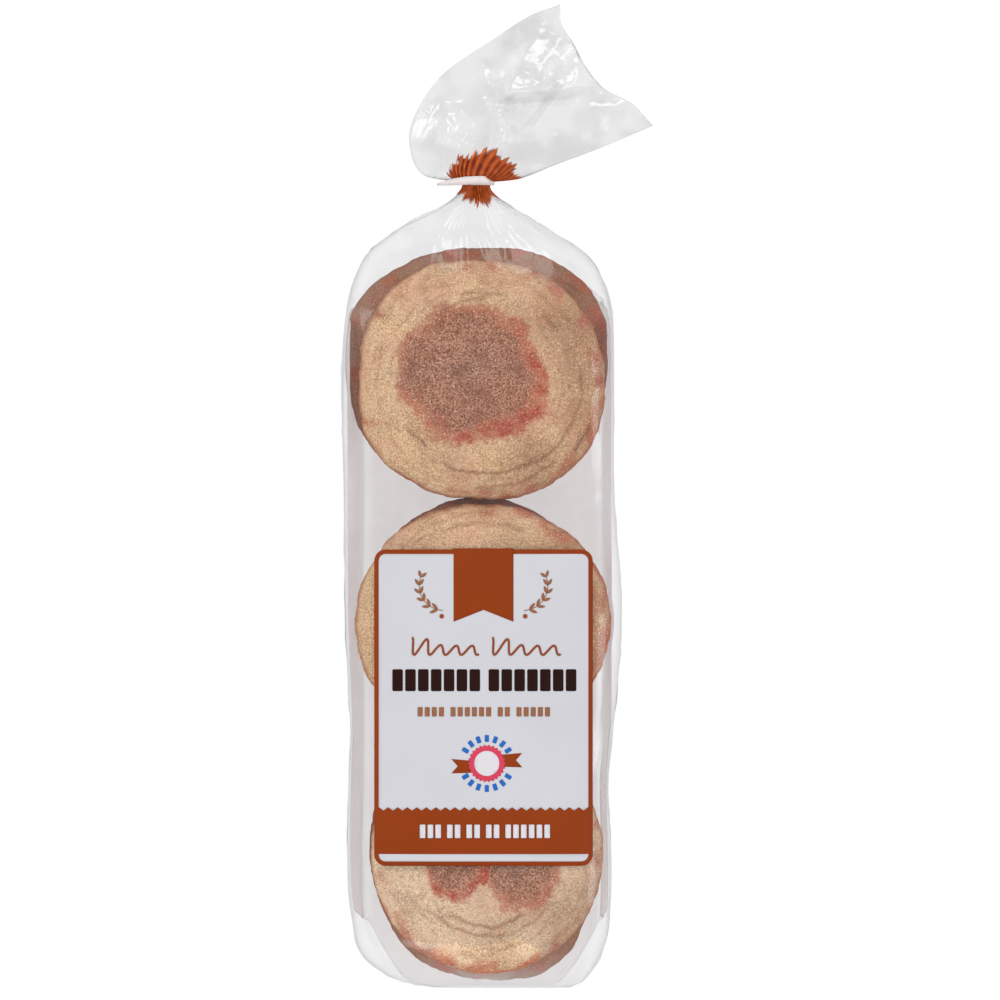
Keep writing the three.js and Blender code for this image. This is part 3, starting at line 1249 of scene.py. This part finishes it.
@dataclass
class Tray:
    """The folded card tray: a floor and two leaning side walls with slanted ends."""

    form: BagForm
    inside: list[Muffin]
    middle: float = 1.8
    floor_half: float = 42.2
    wall: float = 34.0
    lean_left: float = 7.8
    lean_right: float = 4.2
    bulge: float = 0.8
    bulge_reach: float = 34.0
    crease: float = 0.9
    board: float = 0.45
    off_muffins: float = 0.5
    lift: float = 0.12
    start_inside: float = 0.6
    end_past_middle: float = 48.0
    end_slant: float = 10.0
    corner: float = 24.0
    corner_from: float = 25.0
    neck_slant: float = 16.0
    neck_corner: float = 17.0
    neck_corner_from: float = 8.0

    def build(self) -> bpy.types.Object:
        """Fold the die-cut board.

        Returns:
            The piece.
        """
        bm = bmesh.new()
        bmesh.ops.create_grid(bm, x_segments=180, y_segments=150, size=1.0)
        crease = bm.verts.layers.float.new("crease")
        wall = bm.verts.layers.float.new("wall")
        start = self.form.bottom + self.start_inside
        end = self.form.first + self.end_past_middle
        flat_half = self.floor_half + self.wall
        for vert in bm.verts:
            across = vert.co.x * flat_half
            beyond = max(0.0, abs(across) - self.floor_half)
            share = beyond / self.wall
            edge = clamp01((abs(across) - self.corner_from) / (self.floor_half - self.corner_from))
            arch = clamp01((abs(across) - self.neck_corner_from) / (self.floor_half - self.neck_corner_from))
            y = mix(start + self.corner * edge**1.5 + self.end_slant * share,
                    end - self.neck_corner * arch**2 - self.neck_slant * share, (vert.co.y + 1) / 2)
            lean = (self.lean_right if across > 0 else self.lean_left) * share**0.45
            belly = math.sin(math.pi * min(1.0, share * 1.1)) ** 0.7
            for i in range(3):
                near = (y - self.form.first + i * self.form.muffin_pitch) / self.bulge_reach
                lean += self.bulge * math.exp(-(near**2) * 2) * belly
            rise = math.sqrt(max(0.0, beyond**2 - min(lean, beyond) ** 2))
            ripple = 0.35 * noise.noise(Vector((y / 40, across / 30, 6.0))) * share
            x = self.middle + math.copysign(min(abs(across), self.floor_half) + lean + ripple, across)
            way = 1 if across > 0 else -1
            for muffin in self.inside:
                out = muffin.reach(y, self.lift + rise, way) + way * self.off_muffins
                x = way * max(way * x, way * out)
            # past the folded edge the wall stays inside the film
            if beyond > self.board * 8:
                film = self.form.section(y).side(self.lift + rise, way)
                x = way * min(way * x, way * film - 2 * self.board)
            vert[wall] = smooth_step(0.0, 0.15, share)
            # painted highlight along the fold, where the crease band lies
            vert[crease] = math.exp(-(((abs(across) - self.floor_half) / self.crease) ** 2))
            vert.co = Vector((x, y, self.lift + rise))
        bmesh.ops.solidify(bm, geom=bm.faces[:], thickness=-self.board)
        bmesh.ops.recalc_face_normals(bm, faces=bm.faces)
        lowest = min(vert.co.z for vert in bm.verts)
        bmesh.ops.translate(bm, vec=(0, 0, self.lift - lowest), verts=bm.verts)
        return finish_piece(bm, "tray_card", [TrayBoard().build()], Slot.CARD)


# -------------------------------------------------------------------------- label


class Ink(Enum):
    """The label's printed inks, with the height at which each lies on the film."""

    WHITE = ("gravure_white", "#c5c5ca", "#bdbdc3", 0.10)
    BROWN = ("gravure_brown", "#8b380b", "#82330b", 0.20)
    DARK = ("gravure_dark_brown", "#260d07", "#200b06", 0.28)
    RUST = ("gravure_rust", "#924a28", "#8a4423", 0.28)
    TAN = ("gravure_tan", "#926248", "#8a5b42", 0.28)
    ROSE = ("gravure_rose", "#c84059", "#c23850", 0.30)
    BLUE = ("gravure_blue", "#2664b4", "#225dac", 0.28)
    PALE = ("gravure_pale", "#d0ced3", "#c9c7cb", 0.36)


@dataclass
class Label:
    """The front print: a framed white field with plain shapes in place of its words.

    Places are measured from the middle of the label's upper edge, x to the right and
    y towards the neck.
    """

    form: BagForm
    middle: float = 1.6
    upper: float = 18.4
    wide: float = 79.6
    tall: float = 115.2
    corner: float = 4.2
    line: float = 1.65
    cell: float = 2.2

    def __post_init__(self) -> None:
        """Start each ink with no shapes."""
        self.shapes: dict[Ink, list[list[tuple[float, float]]]] = {ink: [] for ink in Ink}

    # shapes, each a closed outline in the label's own places

    def put(self, ink: Ink, outline: Iterable[tuple[float, float]]) -> None:
        """Add a closed outline in an ink."""
        self.shapes[ink].append(list(outline))

    def rounded(
        self, x: float, y: float, wide: float, tall: float, radius: float
    ) -> list[tuple[float, float]]:
        """A rounded rectangle's outline about its middle."""
        points = []
        corners = ((1, 1, 0), (-1, 1, 90), (-1, -1, 180), (1, -1, 270))
        for sx, sy, start in corners:
            cx, cy = x + sx * (wide / 2 - radius), y + sy * (tall / 2 - radius)
            for step in range(9):
                turn = math.radians(start + 90 * step / 8)
                points.append((cx + radius * math.cos(turn), cy + radius * math.sin(turn)))
        return points

    def disc(self, x: float, y: float, radius: float, teeth: int = 0) -> list[tuple[float, float]]:
        """A disc's outline, or a scalloped one with a number of teeth."""
        count = max(40, teeth * 6)
        points = []
        for i in range(count):
            turn = math.tau * i / count
            reach = radius * (1 + (0.045 * math.cos(teeth * turn) if teeth else 0.0))
            points.append((x + reach * math.cos(turn), y + reach * math.sin(turn)))
        return points

    def leaf(self, x: float, y: float, turn: float, length: float, wide: float) -> list[tuple[float, float]]:
        """A pointed leaf's outline, growing from a point in a direction in degrees."""
        c, s = math.cos(math.radians(turn)), math.sin(math.radians(turn))
        points = []
        for i in range(20):
            t = i / 10
            along = t if t <= 1 else 2 - t
            side = wide / 2 * math.sin(math.pi * along) ** 0.8 * (1 if t <= 1 else -1)
            points.append((x + c * along * length - s * side, y + s * along * length + c * side))
        return points

    def draw_frame(self) -> None:
        """The white field, its brown frame, the pennant and the bands at the foot."""
        tall = self.tall
        self.put(Ink.BROWN, self.rounded(0, -tall / 2, self.wide, tall, self.corner))
        inner = self.wide - 2 * self.line
        field = self.rounded(0, -tall / 2, inner, tall - 2 * self.line, self.corner - self.line)
        teeth, foot, tooth = 22, -93.8, 1.25
        upper = [p for p in field if p[1] > -tall / 2]
        zigzag = []
        for i in range(2 * teeth + 1):
            x = -inner / 2 + inner * i / (2 * teeth)
            zigzag.append((x, foot - (tooth if i % 2 else 0.0)))
        self.field = upper + zigzag
        strip = [p for p in field if p[1] < -tall / 2]
        self.strip = [(-inner / 2, -110.9)] + strip + [(inner / 2, -110.9)]
        pennant = 10.9
        self.pennant = [
            (-pennant, 0.4), (-pennant, -26.3), (0.0, -22.0), (pennant, -26.3), (pennant, 0.4),
        ]

    def draw_sprigs(self) -> None:
        """Two mirrored leaf sprigs beside the pennant, each over a dot."""
        reach, x, y = 9.0, -14.4, -13.2
        for side in (1, -1):
            inner, outer = [], []
            for i in range(19):
                turn = math.radians(mix(268, 158, i / 18))
                c, s = math.cos(turn), math.sin(turn)
                inner.append((side * (x + (reach - 0.13) * c), y + (reach - 0.13) * s))
                outer.append((side * (x + (reach + 0.13) * c), y + (reach + 0.13) * s))
            self.put(Ink.TAN, inner + outer[::-1])
            for i in range(6):
                degrees = mix(256, 160, i / 5)
                turn = math.radians(degrees)
                root = (side * (x + reach * math.cos(turn)), y + reach * math.sin(turn))
                for lean in (-34, 34):
                    way = degrees - 90 + lean
                    way = way if side > 0 else 180 - way
                    self.put(Ink.TAN, self.leaf(*root, way, 3.3 - 0.12 * i, 1.15))
            self.put(Ink.RUST, self.disc(side * -15.2, -24.3, 0.85))

    def draw_blocks(self, ink: Ink, left: float, right: float, y: float, tall: float,
                    groups: Sequence[int], gap: float, space: float) -> None:
        """A row of plain upright blocks in groups, where a line of words would be.

        Args:
            ink: Their ink.
            left: Left end of the row.
            right: Right end of the row.
            y: Its middle line.
            tall: Height of a block.
            groups: Number of blocks in each group.
            gap: Width between blocks.
            space: Width between groups.
        """
        count = sum(groups)
        wide = (right - left - space * (len(groups) - 1) - gap * (count - len(groups))) / count
        x = left
        for group in groups:
            for _ in range(group):
                self.put(ink, self.rounded(x + wide / 2, y, wide, tall, min(wide, tall) * 0.16))
                x += wide + gap
            x += space - gap

    def draw_wave(self) -> None:
        """Two plain waving lines where the sloping script would be, each tall at its start."""
        for left, right in ((-28.2, -1.8), (1.0, 28.0)):
            steps, waves, y, half = 130, 4.6, -38.4, 0.42
            middle = []
            for i in range(steps + 1):
                t = i / steps
                phase = math.tau * waves * t
                swing = 1.7 + 1.5 * smooth_step(0.5, 0.1, t)
                height = y + swing + swing * math.cos(phase)
                middle.append((mix(left, right, t) + 0.34 * (height - y), height))
            for (x0, y0), (x1, y1) in zip(middle, middle[1:]):
                run = math.hypot(x1 - x0, y1 - y0)
                nx, ny = (y0 - y1) / run * half, (x1 - x0) / run * half
                self.put(Ink.RUST, [
                    (x0 - nx, y0 - ny), (x1 - nx, y1 - ny), (x1 + nx, y1 + ny), (x0 + nx, y0 + ny),
                ])

    def draw_badge(self) -> None:
        """The round badge: ribbon ends, a scalloped ring, a pale disc and blue ticks round it."""
        x, y = 1.2, -77.9
        for side in (-1, 1):
            lift = 1.1 * side
            a, b, c = x + side * 5.5, x + side * 10.6, x + side * 12.9
            top, low = y + lift + 2.7, y + lift - 2.5
            self.put(Ink.BROWN, [(a, top - 0.6), (c, top), (b, (top + low) / 2), (c, low), (a, low + 0.2)])
        self.put(Ink.ROSE, self.disc(x, y, 6.55, teeth=26))
        self.put(Ink.PALE, self.disc(x, y, 4.55))
        for up in (1, -1):
            for k in range(7):
                turn = math.radians(90 * up + (k - 3) * 19.5)
                cx, cy = x + 9.1 * math.cos(turn), y + 9.1 * math.sin(turn)
                tilt = turn - math.pi / 2
                outline = self.rounded(0, 0, 1.55, 2.5, 0.3)
                c, s = math.cos(tilt), math.sin(tilt)
                self.put(Ink.BLUE, [(cx + px * c - py * s, cy + px * s + py * c) for px, py in outline])

    def draw(self) -> None:
        """Lay out the whole print."""
        self.draw_frame()
        self.draw_sprigs()
        self.draw_wave()
        self.draw_blocks(Ink.DARK, -33.2, 33.8, -47.6, 8.0, (7, 7), 0.85, 3.1)
        self.draw_blocks(Ink.TAN, -24.0, 24.2, -59.1, 3.4, (4, 6, 2, 5), 0.75, 2.4)
        self.draw_badge()
        self.draw_blocks(Ink.PALE, -23.2, 24.2, -102.6, 4.9, (3, 2, 2, 2, 6), 0.8, 2.2)

    # from outlines to thin pieces that follow the film

    def drape(self, ink: Ink, outlines: list[list[tuple[float, float]]], name: str,
              raise_by: float = 0.0) -> bpy.types.Object:
        """Fill outlines, cut them into small cells and lay them on the film.

        Args:
            ink: Their ink.
            outlines: Closed outlines in the label's places.
            name: The piece's name.
            raise_by: Height above the ink's own.

        Returns:
            The piece.
        """
        bm = bmesh.new()
        for outline in outlines:
            verts = [bm.verts.new((self.middle + x, self.upper + y, 0.0)) for x, y in outline]
            edges = [bm.edges.new(pair) for pair in zip(verts, verts[1:] + verts[:1])]
            bmesh.ops.triangle_fill(bm, use_beauty=True, use_dissolve=False, edges=edges)
        box = [(min(v.co[k] for v in bm.verts), max(v.co[k] for v in bm.verts)) for k in (0, 1)]
        for axis, (low, high) in enumerate(box):
            normal = (1.0, 0.0, 0.0) if axis == 0 else (0.0, 1.0, 0.0)
            for i in range(math.ceil(low / self.cell), math.floor(high / self.cell) + 1):
                at = (i * self.cell, 0.0, 0.0) if axis == 0 else (0.0, i * self.cell, 0.0)
                geom = bm.verts[:] + bm.edges[:] + bm.faces[:]
                bmesh.ops.bisect_plane(bm, geom=geom, dist=1e-5, plane_co=at, plane_no=normal)
        for face in bm.faces:
            if face.normal.z < 0:
                face.normal_flip()
        height = ink.value[3] + raise_by
        for vert in bm.verts:
            vert.co.z = self.form.top(vert.co.x, vert.co.y) + height
        bmesh.ops.solidify(bm, geom=bm.faces[:], thickness=0.07)
        _, colour, shade, _ = ink.value
        material = PrintedInk(ink.value[0], colour, shade).build()
        return finish_piece(bm, name, [material], Slot.PRINT)

    def build(self) -> None:
        """Draw the print and make a piece for each ink."""
        self.draw()
        self.drape(Ink.BROWN, [self.shapes[Ink.BROWN][0]], "label_frame", -0.12)
        self.drape(Ink.WHITE, [self.field, self.strip], "label_field", 0.08)
        self.drape(Ink.BROWN, [self.pennant] + self.shapes[Ink.BROWN][1:], "label_pennant", 0.08)
        for ink in (Ink.DARK, Ink.RUST, Ink.TAN, Ink.ROSE, Ink.BLUE, Ink.PALE):
            self.drape(ink, self.shapes[ink], f"label_{ink.name.lower()}", 0.02)


# ---------------------------------------------------------------------------- tie


@dataclass
class Tie:
    """The flat strip wound once round the neck, its tail to the left, its end slanted."""

    form: BagForm
    wide: float = 3.0
    thick: float = 0.5
    turns: int = 48

    def run(self, bm: bmesh.types.BMesh, stops: Sequence[tuple[float, float, float, float, float]]) -> None:
        """Extrude the strip's edge along a line of stops.

        Args:
            bm: The mesh to add to.
            stops: Each stop's x, y and z from the middle of the neck, its share of the full width
                and its slant.
        """
        side = bm.verts.layers.float["side"]
        middle = Vector((0.0, self.form.neck.y, self.form.neck.z))
        row = [bm.verts.new() for _ in range(2)]
        row[0][side], row[1][side] = 1.0, -1.0
        edges = [bm.edges.new(row)]
        for k, (x, y, z, share, slant) in enumerate(stops):
            if k:
                made = bmesh.ops.extrude_edge_only(bm, edges=edges)["geom"]
                row = [g for g in made if isinstance(g, bmesh.types.BMVert)]
                edges = [g for g in made if isinstance(g, bmesh.types.BMEdge) and set(g.verts) == set(row)]
            for vert in row:
                vert.co = middle + Vector((x - slant * vert[side], y + share * self.wide / 2 * vert[side], z))

    def build(self) -> bpy.types.Object:
        """Wind the strip round the neck and lay its free end across the top.

        Returns:
            The piece, which stands for the frame's tie.
        """
        a, b = self.form.neck_wide + 1.0, self.form.neck_deep + 0.8
        top = b + 0.75
        bm = bmesh.new()
        bm.verts.layers.float.new("side")
        turn = [math.radians(118 - 360 * i / self.turns) for i in range(self.turns + 1)]
        self.run(bm, [(a * math.cos(t), 0.2, b * math.sin(t), 0.88, 0.0) for t in turn])
        self.run(bm, (
            (-15.4, -0.9, top - 2.4, 0.25, 0.0), (-12.4, -0.4, top - 1.5, 0.6, 0.0),
            (-9.0, 0.1, top - 0.7, 0.85, 0.0), (-5.0, 0.45, top - 0.15, 1.0, 0.0),
            (-1.0, 0.65, top, 1.0, 0.0), (1.4, 0.7, top, 1.0, 0.15),
            (2.6, 0.65, top - 0.05, 0.98, 0.5), (3.5, 0.45, top - 0.1, 0.85, 1.0),
        ))
        bmesh.ops.recalc_face_normals(bm, faces=bm.faces)
        bmesh.ops.solidify(bm, geom=bm.faces[:], thickness=self.thick)
        bmesh.ops.recalc_face_normals(bm, faces=bm.faces)
        piece = finish_piece(bm, "tie_strip", [TieLaminate().build()], Slot.TIE)
        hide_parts("tie")
        return piece


# -------------------------------------------------------------------------- studio


@dataclass
class Studio:
    """A pale floor, soft lights, and a camera straight above the pack."""

    camera_x: float = 7.6
    camera_y: float = 36.4
    camera_height: float = 8000.0
    plane: float = 48.0
    shown: float = 364.0

    def floor(self) -> None:
        """Lay the floor."""
        bm = bmesh.new()
        bmesh.ops.create_grid(bm, x_segments=8, y_segments=8, size=3.0)
        mesh = bpy.data.meshes.new("studio_floor")
        bm.to_mesh(mesh)
        bm.free()
        floor = bpy.data.objects.new("studio_floor", mesh)
        bpy.context.scene.collection.objects.link(floor)
        floor.location.z = -0.0002
        material, tree, output = new_material("studio_light_table")
        paper = add(tree, "ShaderNodeBsdfDiffuse", {"Color": (0.06, 0.06, 0.06, 1.0)})
        glow = add(tree, "ShaderNodeEmission", {"Color": (1.0, 1.0, 1.0, 1.0), "Strength": 0.95})
        both = add(tree, "ShaderNodeAddShader", {0: paper.outputs[0], 1: glow.outputs[0]})
        tree.links.new(both.outputs[0], output.inputs["Surface"])
        mesh.materials.append(material)

    def lamp(self, name: str, place: Vector, size: float, power: float, mirrored: bool) -> None:
        """Hang a square lamp that points at the pack.

        Args:
            name: Its name.
            place: Where it hangs, in metres.
            size: Its side, in metres.
            power: Its power in watts.
            mirrored: Whether glossy film shows it.
        """
        data = bpy.data.lights.new(name, "AREA")
        data.size = size
        data.energy = power
        lamp = bpy.data.objects.new(name, data)
        bpy.context.scene.collection.objects.link(lamp)
        lamp.location = place
        lamp.rotation_euler = (Vector((0.0, 0.02, 0.02)) - place).to_track_quat("-Z", "Y").to_euler()
        lamp.visible_glossy = mirrored

    def build(self) -> None:
        """Set the floor, the lights, the sky and the camera."""
        scene = bpy.context.scene
        self.floor()
        # broad lamps light the crust, and small low ones draw the film's glints
        lamps = (
            # name, place and size in metres, power in watts, whether glossy film shows it
            ("far_softbox", (0.25, 1.2, 1.6), 1.2, 5.3, False),
            ("near_softbox", (-0.15, -1.2, 1.6), 1.2, 5.9, False),
            ("right_softbox", (1.3, -0.2, 1.4), 1.2, 4.8, False),
            ("left_softbox", (-1.3, 0.2, 1.4), 1.2, 7.0, False),
            ("far_strip", (0.35, 1.9, 1.15), 0.85, 6.5, True),
            ("left_strip", (-1.85, 0.8, 1.1), 0.8, 5.2, True),
            ("right_strip", (1.85, -0.3, 1.05), 0.7, 4.5, True),
            ("near_strip", (-0.3, -1.9, 1.0), 0.6, 3.0, True),
        )
        for name, place, size, power, mirrored in lamps:
            self.lamp(name, Vector(place), size, power, mirrored)
        world = bpy.data.worlds.new("studio_air")
        scene.world = world
        world.use_nodes = True
        tree = world.node_tree
        tree.nodes.clear()
        sky = add(tree, "ShaderNodeBackground", {"Color": (1.0, 1.0, 1.0, 1.0), "Strength": 0.65})
        out = add(tree, "ShaderNodeOutputWorld")
        tree.links.new(sky.outputs[0], out.inputs["Surface"])
        data = bpy.data.cameras.new("camera")
        data.sensor_width = 36.0
        data.lens = data.sensor_width * (self.camera_height - self.plane) / self.shown
        data.clip_end = 20.0
        camera = bpy.data.objects.new("camera", data)
        scene.collection.objects.link(camera)
        place = Vector((self.camera_x, self.camera_y, self.camera_height)) * MM
        camera.matrix_world = Matrix.Translation(place)
        scene.camera = camera
        scene.view_settings.view_transform = "Standard"
        scene.cycles.transparent_max_bounces = 32
        scene.cycles.diffuse_bounces = 8


# ---------------------------------------------------------------------------- main


def main() -> None:
    """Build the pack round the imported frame, and report each piece."""
    logging.basicConfig(level=logging.INFO, format="%(name)s: %(message)s", stream=sys.stdout)
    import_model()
    form = BagForm()
    Studio().build()
    Tray(form, MuffinLayers(form).build()).build()
    bag = FilmBag(form)
    bag.body(ClearFilm("polypropylene_film_cast").build())
    bag.fan(ClearFilm(
        "polypropylene_film_gathered", tint="#fbfbfb", wrinkle_mm=6.5, wrinkle_deep_mm=0.5, haze=0.08,
    ).build())
    Label(form).build()
    Tie(form).build()


if __name__ == "__main__":
    main()
